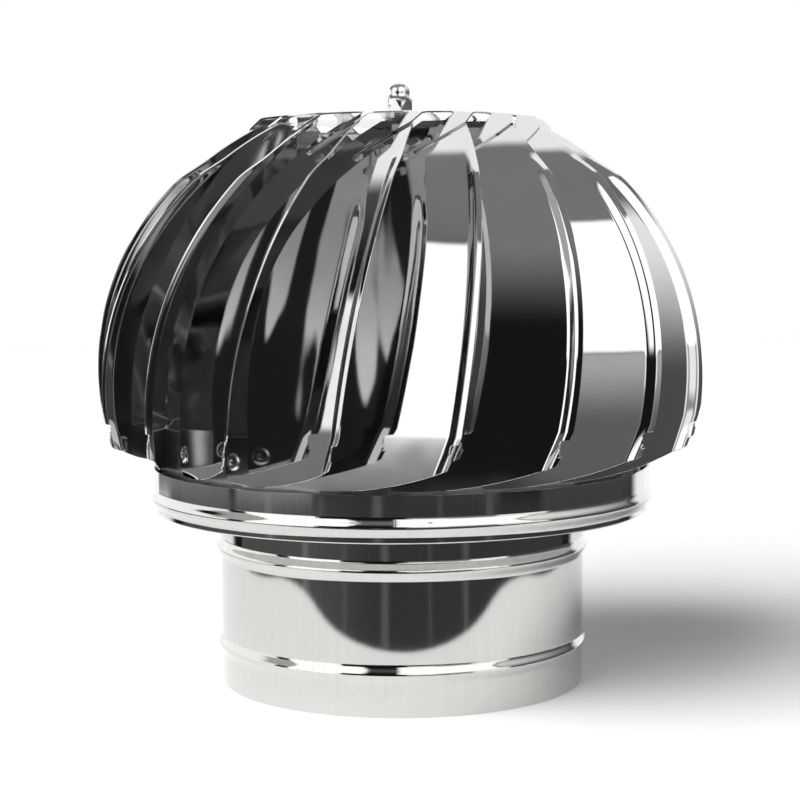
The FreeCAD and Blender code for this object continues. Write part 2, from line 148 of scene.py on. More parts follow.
def smooth(piece, degrees):
    make_active(piece)
    bpy.ops.object.shade_smooth_by_angle(angle=math.radians(degrees))


def hang(piece, body, replaced, slot):
    """Put a piece on its body, in place of the CAD nodes that it stands for."""
    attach(piece, body)
    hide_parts(*replaced)
    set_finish(piece, slot)


# %% [markdown]
# ## Turned sheets: the spigot and the pan
# A rolled tube could be a cylinder with loop cuts. Growing it ring by ring is easier to read: a circle is
# extruded upwards along an outline, and each new ring is scaled to its radius. Solidify then gives the
# sheet its thickness, and a small bevel keeps the cut edges from looking like paper.

# %% A circle extruded along an outline
RING_SEGMENTS = 160
SMOOTH = 20
EDGE_BEVEL = 0.18 * MM
BEVEL_SHARE = 1 / 3
BEVEL_FROM = math.radians(50)


def ring_stack(name, outline, segments):
    clear_selection()
    radius, height = outline[0]
    bpy.ops.mesh.primitive_circle_add(vertices=segments, radius=radius, location=(0, 0, height))
    piece = bpy.context.object
    piece.name = name
    bpy.ops.object.transform_apply()
    bpy.ops.object.mode_set(mode="EDIT")
    bpy.ops.mesh.select_all(action="SELECT")
    for (r_old, z_old), (r_new, z_new) in zip(outline, outline[1:]):
        bpy.ops.mesh.extrude_edges_move(TRANSFORM_OT_translate={"value": (0, 0, z_new - z_old)})
        share = r_new / r_old
        bpy.ops.transform.resize(value=(share, share, 1), center_override=(0, 0, z_new))
    bpy.ops.object.mode_set(mode="OBJECT")
    return piece


def face_out(piece):
    """Turn a sheet's faces so that most of them look away from the spin axis."""
    outward = sum(f.normal.xy.dot(f.center.xy) * f.area for f in piece.data.polygons)
    if outward < 0:
        piece.data.flip_normals()


def sheet_metal(piece, thickness):
    """Give an outer skin its thickness inwards, and ease its cut edges."""
    solid = piece.modifiers.new("wall", "SOLIDIFY")
    solid.thickness = thickness
    solid.offset = -1
    solid.use_even_offset = True
    edge = piece.modifiers.new("edge", "BEVEL")
    edge.width = min(EDGE_BEVEL, thickness * BEVEL_SHARE)
    edge.segments = 2
    edge.limit_method = "ANGLE"
    edge.angle_limit = BEVEL_FROM
    apply_modifiers(piece)


# %% [markdown]
# A bead is pressed out with a roller, so it swells and sinks softly. A raised cosine has that form: it
# leaves the wall without a corner and comes back the same way.

# %% The spigot
BEAD_STEPS = 16
BEAD_SOFTNESS = 1.5
GUARD = 0.4 * MM


def bead_points(z, proud, radius_below, radius_above):
    """A soft bead, with a guard ring on the plain wall at each end so that the wall stays flat."""
    half = BEAD_H * BEAD_SOFTNESS / 2
    points = [(radius_below, z - half - GUARD)]
    for step in range(BEAD_STEPS + 1):
        share = step / BEAD_STEPS
        swell = proud * (0.5 - 0.5 * math.cos(2 * math.pi * share))
        wall = radius_below + (radius_above - radius_below) * share
        points.append((wall + swell, z + (2 * share - 1) * half))
    points.append((radius_above, z + half + GUARD))
    return points


spigot_outline = [(SPIGOT_R, 0), (SPIGOT_R, GUARD)]
for bead_z, bead_proud in SPIGOT_BEADS:
    spigot_outline += bead_points(bead_z, bead_proud, SPIGOT_R, SPIGOT_R)
spigot_outline += [(SPIGOT_R, spigot_top - GUARD), (SPIGOT_R, spigot_top)]
spigot = ring_stack("spigot_sheet", spigot_outline, RING_SEGMENTS)
face_out(spigot)
sheet_metal(spigot, SPIGOT_WALL)
smooth(spigot, SMOOTH)
hang(spigot, "base", ["base_spigot"], "base_sheet")
print("spigot faces:", len(spigot.data.polygons))

# %% [markdown]
# The pan is spun from one disc: a short upstand round the flue, a flat floor and a beaded wall. Its outline
# goes round all of those corners in one line, so the same ring stack makes it.

# %% The pan
FLOOR_ROUND = 1.2 * MM

pan_bead_z = spigot_top + PAN_BEAD_UP
pan_outline = [
    (SPIGOT_R, spigot_top + PAN_UPSTAND_H),
    (SPIGOT_R, spigot_top + FLOOR_ROUND),
    (SPIGOT_R + FLOOR_ROUND, spigot_top),
    (PAN_FOOT_R - FLOOR_ROUND / 2, spigot_top),
    (PAN_FOOT_R, spigot_top + FLOOR_ROUND / 2),
]
pan_outline += bead_points(pan_bead_z, PAN_BEAD_PROUD, PAN_FOOT_R, PAN_WALL_R)
pan_outline += [(PAN_WALL_R, pan_rim - GUARD), (PAN_WALL_R, pan_rim)]
pan = ring_stack("pan_sheet", pan_outline, RING_SEGMENTS)
face_out(pan)
sheet_metal(pan, PAN_SHEET)
smooth(pan, SMOOTH)
hang(pan, "base", ["collar_pan"], "base_sheet")
print("pan faces:", len(pan.data.polygons))

# %% [markdown]
# ## The vanes
# Each vane starts as a flat blank with curved edges. Its outer edge is stepped outwards and hemmed, its
# foot is notched, and the upper part is rolled over a large former. A mirror shows every flaw of a mesh,
# so the blank is a fine grid: each column has a place across the sheet, each row a length up the sheet,
# and every point is moved to where rolling would carry it.

# %% The blank's outline
EDGE_W = 105.7 * MM
EDGE_R = 236.0 * MM
EDGE_MID = 75.3 * MM
INNER_W = 10.0 * MM
INNER_TAPER = 28.0 * MM
TAPER_START = 90.0 * MM
FOOT_R = 201.0 * MM
FOOT_W = 20.0 * MM
CORNER_CUT = 4.0 * MM
HEM_END = 183.3 * MM
NOTCH_ROW = 21.9 * MM
RAMP = 4.3 * MM
RISE = 2.4 * MM
HEM = 3.1 * MM
HEM_FADE = 22.0 * MM
NOTCH_FROM_BEND = 3.0 * MM
TIP_TRIM = 1.0 * MM


def edge_w(s):
    return EDGE_W - EDGE_R + math.sqrt(EDGE_R ** 2 - (s - EDGE_MID) ** 2)


def inner_w(s):
    share = max(0.0, (s - TAPER_START) / (vane_length - TAPER_START))
    return INNER_W + INNER_TAPER * share ** 2


def foot_rise(w):
    """Height of the rounded foot over its lowest point, with the inner corner cut off."""
    arc = FOOT_R - math.sqrt(FOOT_R ** 2 - (w - FOOT_W) ** 2)
    return max(arc, CORNER_CUT - (w - INNER_W))


print("blank in mm:", round(vane_length / MM, 1), "by", round((edge_w(EDGE_MID) - INNER_W) / MM, 1))

# %% [markdown]
# The outer edge is joggled: a short ramp lifts it clear of the next vane, and a flat hem follows. Its
# section is drawn once, as places across the sheet and heights over it. A small curve rounds each bend,
# so that a reflection turns the corner softly, and a guard point next to the bend keeps the flats flat.

# %% The step across the sheet
BEND_REACH = 0.9 * MM
BEND_STEPS = 3
BEND_GUARD = 0.5 * MM
PANEL_COLUMNS = 18


def rounded_corner(before, corner, after):
    """Points that round a bend between two flats."""
    points = []
    for step in range(BEND_STEPS + 1):
        t = step / BEND_STEPS
        points.append(before * (1 - t) ** 2 + corner * 2 * t * (1 - t) + after * t ** 2)
    return points


ramp_way = Vector((RAMP, RISE)).normalized()
first_bend = Vector((0, 0))
second_bend = Vector((RAMP, RISE))
step_points = [Vector((-BEND_REACH - BEND_GUARD, 0))]
step_points += rounded_corner(Vector((-BEND_REACH, 0)), first_bend, ramp_way * BEND_REACH)
step_points.append(ramp_way * (NOTCH_FROM_BEND / ramp_way.x))
step_points += rounded_corner(second_bend - ramp_way * BEND_REACH, second_bend,
                              second_bend + Vector((BEND_REACH, 0)))
step_points.append(Vector((RAMP + BEND_REACH + BEND_GUARD, RISE)))
step_points.append(Vector((RAMP + HEM, RISE)))
notch_column = PANEL_COLUMNS + BEND_STEPS + 2
column_count = PANEL_COLUMNS + len(step_points)
print("columns across a vane:", column_count)

# %% [markdown]
# Up the sheet, rows have to fall on the notch, on the line where the roll starts and on the ends of the
# joggle's fade. Between those lines they are even, and closer where the form changes faster.

# %% Rows up the sheet
FOOT_ROWS = 6
NOTCH_ROWS = 3
ARC_ROWS = 30
FADE_ROWS = 9
TIP_ROWS = 6


def even_steps(first, last, count):
    return [first + (last - first) * i / count for i in range(1, count + 1)]


rows = [0.0]
rows += even_steps(0.0, NOTCH_ROW, FOOT_ROWS)
rows += even_steps(NOTCH_ROW, VANE_STRAIGHT, NOTCH_ROWS)
rows += even_steps(VANE_STRAIGHT, HEM_END - HEM_FADE, ARC_ROWS)
rows += even_steps(HEM_END - HEM_FADE, HEM_END, FADE_ROWS)
rows += even_steps(HEM_END, vane_length, TIP_ROWS)
print("rows up a vane:", len(rows))


# %% [markdown]
# Rolling keeps lengths. A point of the blank goes straight up to the line where the roll starts, and from
# there round the former. A point on the step keeps its height over the sheet, so it goes round on a larger
# radius.

# %% Rolling one point of the blank to its place
def fade(value, low, high):
    """1 below low, 0 above high, and a soft slope between."""
    share = min(1.0, max(0.0, (high - value) / (high - low)))
    return share * share * (3 - 2 * share)


def blank_place(column, s):
    """Where a column of the blank lies across the sheet at length s, and how far it is stepped out."""
    bend = edge_w(s) - RAMP - HEM
    if column < PANEL_COLUMNS:
        start = inner_w(s)
        return start + (bend + step_points[0].x - start) * column / PANEL_COLUMNS, 0.0
    across, rise = step_points[column - PANEL_COLUMNS]
    pressed = fade(s, HEM_END - HEM_FADE, HEM_END)
    trim = 1 - (1 - pressed) * TIP_TRIM / (RAMP + HEM)
    return bend + across * trim, rise * pressed


def rolled(column, s):
    w, rise = blank_place(column, s)
    if s <= VANE_STRAIGHT:
        low = vane_foot + foot_rise(w)
        return Vector((w, -VANE_OFFSET - rise, low + (bend_z - low) * s / VANE_STRAIGHT))
    angle = (s - VANE_STRAIGHT) / VANE_ARC_R
    radius = VANE_ARC_R + rise
    return Vector((w, -arc_u - radius * math.cos(angle), bend_z + radius * math.sin(angle)))


def placed_grid(columns, row_count, place):
    """A flat grid whose points are carried to their places by column and row."""
    clear_selection()
    bpy.ops.mesh.primitive_grid_add(x_subdivisions=columns - 1, y_subdivisions=row_count - 1, size=1)
    piece = bpy.context.object
    for vertex in piece.data.vertices:
        column = round((vertex.co.x + 0.5) * (columns - 1))
        row = round((vertex.co.y + 0.5) * (row_count - 1))
        vertex.co = place(column, row)
    return piece


# %% [markdown]
# Below the hem the joggle is cut away, so that the foot lies flat on its ring. By hand those faces would be
# box-selected and deleted. In code they are found by the place of their centres.

# %% Cutting the notch under the hem
NOTCH_MARGIN = NOTCH_FROM_BEND / 4


def cut_notch(piece):
    """Delete the faces of the step below the hem, past the notch's line on the ramp."""
    notch_w = edge_w(NOTCH_ROW) - RAMP - HEM + NOTCH_FROM_BEND
    notch_z = max(rolled(c, NOTCH_ROW).z for c in range(notch_column, column_count))
    bpy.ops.object.mode_set(mode="EDIT")
    bpy.ops.mesh.select_mode(type="FACE")
    bpy.ops.mesh.select_all(action="DESELECT")
    bpy.ops.object.mode_set(mode="OBJECT")
    for face in piece.data.polygons:
        face.select = face.center.x > notch_w - NOTCH_MARGIN and face.center.z < notch_z
    for face in piece.data.polygons:
        if face.select and all(piece.data.vertices[v].co.x < notch_w for v in face.vertices):
            face.select = False
    bpy.ops.object.mode_set(mode="EDIT")
    bpy.ops.mesh.delete(type="FACE")
    bpy.ops.object.mode_set(mode="OBJECT")


# %% [markdown]
# All the vanes are alike, so one is finished and then duplicated. Each copy has a mesh of its own, which is
# turned about the spin axis while its object stays at the origin.

# %% One vane, then a copy for each place
pattern = placed_grid(column_count, len(rows), lambda column, row: rolled(column, rows[row]))
face_out(pattern)
cut_notch(pattern)
sheet_metal(pattern, VANE_SHEET)
smooth(pattern, SMOOTH)
vanes = []
for index in range(VANE_COUNT):
    make_active(pattern)
    bpy.ops.object.duplicate()
    vane = bpy.context.object
    vane.name = "vane_sheet_%02d" % (index + 1)
    vane.data.transform(Matrix.Rotation(VANE_PHASE + VANE_PITCH * index, 4, "Z"))
    hang(vane, "rotor", ["vane_%02d" % (index + 1)], "polished_sheet")
    vanes.append(vane)
bpy.data.objects.remove(pattern)
print("vanes:", len(vanes), "faces each:", len(vanes[0].data.polygons))


# %% [markdown]
# ## The crown
# The crown is a shallow dome cut like a saw blade: each tooth ends in a tab that is bent down onto its
# vane. One tooth of the disc is a grid whose columns are bearings and whose rows go from the spindle hole
# to the rim. Its tab is a second grid that starts on the same bend line and follows the vane's curve.

# %% The crown's sizes
CROWN_SHEET = 1.0 * MM
DOME_R = 77.6 * MM
DOME_RISE = 3.1 * MM
SEAT_R = 10.0 * MM
HOLE_R = 4.05 * MM
TAB_TIP_W = 65.0 * MM
TAB_SLIT = 0.6 * MM
TAB_GAP = 0.1 * MM
TAB_R = VANE_ARC_R + TAB_GAP + CROWN_SHEET
TAB_REACH_OUT = 4.9 * MM

crown_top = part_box("crown_cap")[1].z - DOME_RISE
tab_bend_u = arc_u + math.sqrt(TAB_R ** 2 - (crown_top - bend_z) ** 2)
root_u = (tab_bend_u - TAB_TIP_W * math.sin(VANE_PITCH)) / math.cos(VANE_PITCH)
root_turn = -math.atan2(root_u, TAB_TIP_W) - VANE_PITCH
tip_turn = -math.atan2(tab_bend_u, TAB_TIP_W)
tab_reach_r = math.hypot(TAB_TIP_W, tab_bend_u) + TAB_REACH_OUT
print("crown top in mm:", round(crown_top / MM, 1), "tab bend:", round(tab_bend_u / MM, 1))


# %% [markdown]
# A tooth's columns start at the root of one slit and end at the root of the next. Some of them fall on the
# bend line, where the tab's own columns will meet them. The rows are even out to a circle inside the teeth,
# and from there they stretch to the saw-tooth rim.

# %% Bearings and radii of one tooth
TAB_COLUMNS = 6
EDGE_COLUMNS = 8
DISC_ROWS = 12
TOOTH_R = 64.0 * MM
RIM_SHARES = (0.3, 0.55, 0.75, 0.88, 0.95, 1.0)


def slit_w(u):
    """The side of the slit that a tab starts from, at a distance u out from the axis."""
    return (TAB_TIP_W + TAB_SLIT - u * math.sin(VANE_PITCH)) / math.cos(VANE_PITCH)


first_turn = -math.atan2(tab_bend_u, slit_w(tab_bend_u))
bearings = [root_turn, first_turn]
bearings += [-math.atan2(tab_bend_u, w) for w in even_steps(slit_w(tab_bend_u), TAB_TIP_W, TAB_COLUMNS)]
bearings += even_steps(tip_turn, root_turn + VANE_PITCH, EDGE_COLUMNS)
radii = [HOLE_R, SEAT_R] + even_steps(SEAT_R, TOOTH_R, DISC_ROWS)
print("a tooth:", len(bearings), "columns,", len(radii) + len(RIM_SHARES), "rows")


# %% [markdown]
# The disc is a shallow dome and the tab follows the vane. Where the two surfaces cross, the lower one wins,
# and a little is taken off the crossing so that the bend is round. The rounding dies away towards the slit,
# where neighbouring teeth have to meet on the same points.

# %% The height of a point on the crown
BEND_SOFT = 0.9 * MM
BEND_FADE = 5.0 * MM
SOFT_SHARE = 1 / 4


def rim_radius(bearing):
    if bearing <= tip_turn:
        return tab_bend_u / math.sin(-bearing)
    return TAB_TIP_W / math.cos(bearing)


def dome_z(radius):
    fall = max(0.0, (radius - SEAT_R) / (DOME_R - SEAT_R))
    return crown_top + DOME_RISE * (1 - fall ** 2)


def softened(w, u):
    """The lower of the dome and the vane's curve, rounded where the two meet."""
    plane_z = dome_z(math.hypot(w, u))
    curve_z = bend_z + math.sqrt(TAB_R ** 2 - (u - arc_u) ** 2)
    near = max(0.0, 1 - abs(plane_z - curve_z) / BEND_SOFT)
    hold = 1 - fade(w - slit_w(u), 0.0, BEND_FADE)
    return min(plane_z, curve_z) - hold * near ** 2 * BEND_SOFT * SOFT_SHARE


def disc_place(column, row):
    bearing = bearings[column]
    if row < len(radii):
        radius = radii[row]
    else:
        radius = TOOTH_R + (rim_radius(bearing) - TOOTH_R) * RIM_SHARES[row - len(radii)]
    w, u = radius * math.cos(bearing), -radius * math.sin(bearing)
    height = dome_z(radius) if row < len(radii) else softened(w, u)
    return Vector((w, -u, height))


# %% [markdown]
# The tab's rows crowd at the bend and spread out beyond it, because only the bend needs them. Its end is
# an arc about the spindle, so each column stops where it meets that circle.

# %% One tab on the vane's curve
TAB_SHARES = (0.0, 0.04, 0.09, 0.16, 0.28, 0.46, 0.72, 1.0)
far_u = (TAB_TIP_W + TAB_SLIT) * math.sin(VANE_PITCH)
far_u += math.sqrt(tab_reach_r ** 2 - (TAB_TIP_W + TAB_SLIT) ** 2) * math.cos(VANE_PITCH)
reach_first = math.atan2(far_u, slit_w(far_u))
reach_last = math.acos(TAB_TIP_W / tab_reach_r)


def tab_place(column, row):
    across = column / TAB_COLUMNS
    along = TAB_SHARES[row]
    start_w = slit_w(tab_bend_u) + (TAB_TIP_W - slit_w(tab_bend_u)) * across
    reach_turn = reach_first + (reach_last - reach_first) * across
    w = start_w + (tab_reach_r * math.cos(reach_turn) - start_w) * along
    u = tab_bend_u + (tab_reach_r * math.sin(reach_turn) - tab_bend_u) * along
    return Vector((w, -u, softened(w, u)))


# %% [markdown]
# The copies meet edge to edge, so merging their doubles makes one sheet of them. Normals are recalculated
# after that and before the sheet gets its thickness.

# %% Eighteen teeth joined into the crown
MERGE = 0.01 * MM


def ring_of_copies(parts, name):
    """Copy parts round to every vane's place and join all the copies into one piece."""
    copies = []
    for part in parts:
        for index in range(VANE_COUNT):
            make_active(part)
            bpy.ops.object.duplicate()
            copy = bpy.context.object
            copy.data.transform(Matrix.Rotation(VANE_PHASE + VANE_PITCH * index, 4, "Z"))
            copies.append(copy)
        bpy.data.objects.remove(part)
    clear_selection()
    for copy in copies:
        copy.select_set(True)
    bpy.context.view_layer.objects.active = copies[0]
    bpy.ops.object.join()
    joined = bpy.context.object
    joined.name = name
    return joined


tooth = placed_grid(len(bearings), len(radii) + len(RIM_SHARES), disc_place)
tab = placed_grid(TAB_COLUMNS + 1, len(TAB_SHARES), tab_place)
crown = ring_of_copies([tooth, tab], "crown_sheet")
bpy.ops.object.mode_set(mode="EDIT")
bpy.ops.mesh.select_all(action="SELECT")
bpy.ops.mesh.remove_doubles(threshold=MERGE)
bpy.ops.mesh.normals_make_consistent(inside=False)
bpy.ops.object.mode_set(mode="OBJECT")
if sum(face.normal.z for face in crown.data.polygons) < 0:
    crown.data.flip_normals()
sheet_metal(crown, CROWN_SHEET)
smooth(crown, SMOOTH)
hang(crown, "rotor", ["crown_cap"], "polished_sheet")
print("crown faces:", len(crown.data.polygons))


# %% [markdown]
# ## Cap nut and washer
# These CAD solids already have the right form, but their triangles are loose and each shows as a facet in
# a bright finish. A copy with its corners merged and its gentle angles smoothed keeps the form exactly.
# A nut stops at any turn when it is tightened, so the copy is turned a little on the spindle.

# %% Smooth copies of the nut and the washer
def smooth_copy(node, name, degrees):
    make_active(nodes[node])
    bpy.ops.object.duplicate()
    piece = bpy.context.object
    piece.name = name
    for key in list(piece.keys()):
        del piece[key]
    piece.parent = None
    bpy.ops.object.mode_set(mode="EDIT")
    bpy.ops.mesh.select_all(action="SELECT")
    bpy.ops.mesh.remove_doubles(threshold=MERGE)
    bpy.ops.object.mode_set(mode="OBJECT")
    smooth(piece, degrees)
    hang(piece, "rotor", [node], "fixings")
    return piece


NUT_TURN = math.radians(-21)
NUT_SMOOTH = 25
WASHER_SMOOTH = 30
cap_nut = smooth_copy("cap_nut", "cap_nut_domed", NUT_SMOOTH)
cap_nut.data.transform(Matrix.Rotation(NUT_TURN, 4, "Z"))
crown_washer = smooth_copy("crown_washer", "crown_washer_flat", WASHER_SMOOTH)
print("nut and washer faces:", len(cap_nut.data.polygons), len(crown_washer.data.polygons))

# %% [markdown]
# ## Rivets
# A set blind rivet shows a low dome with a hole in the middle, where the broken end of its pulling pin
# sits. The head is one more outline for the ring stack, closed at the top, and a copy goes to each vane.

# %% A blind rivet along Z
RIVET_SEGMENTS = 28
RIVET_SMOOTH = 40
RIVET_TAIL = 1.2 * MM
TAIL_EDGE = 0.9 * MM


def rivet_outline(head_r, head_h, shank_r, grip):
    """From the flared tail inside, along the shank, over the head and down into its hole."""
    tail_r = (shank_r + head_r) / 2
    return [
        (shank_r * 0.3, -grip - RIVET_TAIL), (tail_r * 0.9, -grip - RIVET_TAIL),
        (tail_r, -grip - TAIL_EDGE),
        (tail_r, -grip), (shank_r, -grip), (shank_r, 0), (head_r * 0.97, 0), (head_r, head_h * 0.18),
        (head_r * 0.95, head_h * 0.45), (head_r * 0.8, head_h * 0.78), (head_r * 0.62, head_h * 0.95),
        (head_r * 0.46, head_h), (head_r * 0.37, head_h * 0.96), (head_r * 0.33, head_h * 0.8),
        (head_r * 0.3, head_h * 0.35), (head_r * 0.24, head_h * 0.3), (head_r * 0.22, head_h * 0.62),
        (head_r * 0.17, head_h * 0.7),
    ]


# %% [markdown]
# On the crown's tabs no head shows. Those rivets are set from inside and end level with the sheet.

# %% A flush rivet along Z
FLUSH = 0.1 * MM


def flush_outline(head_r, head_h, shank_r, grip):
    """A low head inside, along the shank, and a flat end level with the sheet."""
    return [
        (head_r * 0.2, -grip - head_h), (head_r * 0.5, -grip - head_h * 0.95),
        (head_r * 0.85, -grip - head_h * 0.6), (head_r, -grip - head_h * 0.15), (head_r, -grip),
        (shank_r, -grip), (shank_r, -FLUSH), (shank_r * 0.2, -FLUSH),
    ]


# %% Closing a rivet and copying it round
def close_ends(piece):
    """Fill the two open rings at the ends of a ring stack."""
    make_active(piece)
    bpy.ops.object.mode_set(mode="EDIT")
    bpy.ops.mesh.select_mode(type="EDGE")
    bpy.ops.mesh.select_all(action="DESELECT")
    bpy.ops.mesh.select_non_manifold()
    bpy.ops.mesh.edge_face_add()
    bpy.ops.mesh.select_all(action="SELECT")
    bpy.ops.mesh.normals_make_consistent(inside=False)
    bpy.ops.object.mode_set(mode="OBJECT")


def rivet_row(name, outline, place, node):
    """One rivet, copied to every vane and joined into a single piece."""
    rivet = ring_stack(name, outline, RIVET_SEGMENTS)
    close_ends(rivet)
    smooth(rivet, RIVET_SMOOTH)
    rivet.data.transform(place)
    row = ring_of_copies([rivet], name)
    hang(row, "rotor", [node], "fixings")
    return row


# %% [markdown]
# A foot rivet goes through the vane and the ring behind it, so it points straight out of the flat foot.
# A tab rivet goes through the tab and the vane, so it leans with their curve.

# %% Rivets at the feet
QUARTER_TURN = math.radians(90)
RING_SHEET = 1.0 * MM
FOOT_RIVET_W = 17.0 * MM
FOOT_RIVET_UP = 11.3 * MM
FOOT_HEAD_R = 4.75 * MM
FOOT_HEAD_H = 1.4 * MM
FOOT_SHANK_R = 2.4 * MM

foot_place = Matrix.Translation((FOOT_RIVET_W, -VANE_OFFSET, vane_foot + FOOT_RIVET_UP))
foot_place = foot_place @ Matrix.Rotation(QUARTER_TURN, 4, "X")
foot_outline = rivet_outline(FOOT_HEAD_R, FOOT_HEAD_H, FOOT_SHANK_R, VANE_SHEET + RING_SHEET)
foot_rivets = rivet_row("foot_rivets", foot_outline, foot_place, "ring_rivets")
print("foot rivet faces:", len(foot_rivets.data.polygons))

# %% Rivets on the crown's tabs
TAB_RIVET_IN = 10.5 * MM
TAB_RIVET_OUT = 13.1 * MM
TAB_HEAD_R = 3.25 * MM
TAB_HEAD_H = 1.0 * MM
TAB_SHANK_R = 1.6 * MM

tab_rivet_w = TAB_TIP_W - TAB_RIVET_IN
tab_rivet_u = tab_bend_u + TAB_RIVET_OUT
tab_angle = math.acos((tab_rivet_u - arc_u) / TAB_R)
head_place = Matrix.Translation((tab_rivet_w, -tab_rivet_u, bend_z + TAB_R * math.sin(tab_angle)))
head_place = head_place @ Matrix.Rotation(QUARTER_TURN - tab_angle, 4, "X")
tab_outline = flush_outline(TAB_HEAD_R, TAB_HEAD_H, TAB_SHANK_R, TAB_R - VANE_ARC_R + VANE_SHEET)
tab_rivets = rivet_row("tab_rivets", tab_outline, head_place, "crown_rivets")
print("tab rivet faces:", len(tab_rivets.data.polygons))


# %% [markdown]
# ## Shader maths as Python
# A finish is a formula over the surface. One small class wraps a socket, so that sums of sockets read like
# sums of numbers, and one method adds any other node with its settings and inputs.

# %% A socket that does sums
class Shade:
    """A node tree that adds nodes, and wraps their outputs as Value."""

    def __init__(self, tree):
        self.tree = tree

    def node(self, kind, settings=None, output=0, **inputs):
        made = self.tree.nodes.new(kind)
        for key, value in (settings or {}).items():
            setattr(made, key, value)
        for key, value in inputs.items():
            by_place = key[1:].isdigit()
            socket = made.inputs[int(key[1:]) if by_place else key.replace("_", " ")]
            self.feed(socket, value)
        return Value(self, made.outputs[output], made)

    def feed(self, socket, value):
        if isinstance(value, Value):
            self.tree.links.new(value.socket, socket)
        else:
            socket.default_value = value


class Value:
    """A socket that takes part in sums."""

    def __init__(self, shade, socket, made):
        self.shade = shade
        self.socket = socket
        self.made = made

    def out(self, name):
        return Value(self.shade, self.made.outputs[name], self.made)

    def math(self, operation, first, second=0.0):
        return self.shade.node("ShaderNodeMath", {"operation": operation}, i0=first, i1=second)

    def __add__(self, other):
        return self.math("ADD", self, other)

    __radd__ = __add__

    def __sub__(self, other):
        return self.math("SUBTRACT", self, other)

    def __rsub__(self, other):
        return self.math("SUBTRACT", other, self)

    def __mul__(self, other):
        return self.math("MULTIPLY", self, other)

    __rmul__ = __mul__

    def maximum(self, other):
        return self.math("MAXIMUM", self, other)

    def power(self, other):
        return self.math("POWER", self, other)


# %% [markdown]
# Four things come up in every finish: a soft step between two values, a noise, a blend of two colours and
# the coordinates of the piece. Each gets a short helper, and a fifth starts a new material.

# %% Helpers for finishes
def ease(shade, value, low, high):
    """0 below low, 1 above high, and a soft climb between."""
    return shade.node("ShaderNodeMapRange", {"interpolation_type": "SMOOTHSTEP"}, Value=value,
                      From_Min=low, From_Max=high)


def noise(shade, vector, scale, detail=2.0, rough=0.5):
    return shade.node("ShaderNodeTexNoise", Vector=vector, Scale=scale, Detail=detail, Roughness=rough)


def blend_colour(shade, share, first, second):
    return shade.node("ShaderNodeMix", {"data_type": "RGBA"}, output=2, i0=share, i6=first, i7=second)


def new_finish(name):
    """A new material, its tree and the Principled shader in it."""
    material = bpy.data.materials.new(name)
    material.use_nodes = True
    shade = Shade(material.node_tree)
    principled = next(n for n in material.node_tree.nodes if n.type == "BSDF_PRINCIPLED")
    return material, shade, principled


def object_place(shade):
    return shade.node("ShaderNodeTexCoord").out("Object")


# %% [markdown]
# ## Finishes
# Bright annealed sheet is a mirror with faults: slow waves from rolling, a haze that gathers in places, and
# a fine grain. The waves go into a bump that is far too weak to see as shape but bends the reflections.
#
# Two mirrors that face each other pass a ray to and fro many times, and the renderer follows only the
# first few of those bounces. Between the vanes most rays would end black. The sheet therefore glows with
# painted light that stands in for the light of a longer path: pale streaks of painted light that hang from
# the crown over a dark foot. It does not follow the lamps, so a darker studio would need it turned down.

# %% A painted glow for long mirror paths
LAST_BOUNCE = 3
DIM_STRENGTH = 2.2
DIM_LOW = (0.016, 0.016, 0.016, 1)
DIM_MID = (0.36, 0.36, 0.355, 1)
DIM_HIGH = (0.80, 0.79, 0.77, 1)
DIM_FOOT = 0.17
DIM_TOP = 0.27
DIM_GATHER = 0.16
LIGHT_STREAKS_ROUND = 12.0
LIGHT_STREAKS_UP = 8.0
LIGHT_STREAK_LOW = 0.6
LIGHT_STREAK_HIGH = 0.66
BLACK = (0, 0, 0, 1)


def painted_bounce_light(shade, place, colour):
    """Base and painted glow of a mirror whose last followed bounce ends on streaks of painted light."""
    # The streaks are painted light, a glow on the sheet and not marks in its finish.
    split = shade.node("ShaderNodeSeparateXYZ", Vector=place)
    turn = split.math("ARCTAN2", split.out("Y"), split.out("X"))
    height = split.out("Z")
    streak_place = shade.node("ShaderNodeCombineXYZ", X=turn * LIGHT_STREAKS_ROUND, Y=height * LIGHT_STREAKS_UP, Z=0.0)
    lifted = ease(shade, height, DIM_FOOT, DIM_TOP)
    hanging = noise(shade, streak_place, scale=1.0, detail=1.0, rough=0.4) + DIM_GATHER * lifted
    streaks = ease(shade, hanging, LIGHT_STREAK_LOW, LIGHT_STREAK_HIGH)
    pale = blend_colour(shade, lifted, DIM_HIGH, DIM_MID)
    rest = blend_colour(shade, streaks, DIM_LOW, pale)
    # Past the last followed bounce the base turns black and the painted light takes its place.
    bounces = shade.node("ShaderNodeLightPath").out("Glossy Depth")
    past = ease(shade, bounces, LAST_BOUNCE - 0.6, LAST_BOUNCE - 0.4)
    return blend_colour(shade, past, colour, BLACK), blend_colour(shade, past, BLACK, rest)


# %% [markdown]
# With that end in hand, the mirror itself is a metal whose roughness follows the haze. The outer and the
# inner faces differ only in how rough they start.

# %% Mirror-bright sheet for the rotor
MIRROR_DARK = (0.625, 0.63, 0.635, 1)
MIRROR_LIGHT = (0.67, 0.675, 0.68, 1)
HAZE_ROUGH = 0.035
GRAIN_ROUGH = 0.01
RIPPLE_SHARE = 0.16
WAVE_STRENGTH = 0.12
WAVE_DEPTH = 0.004


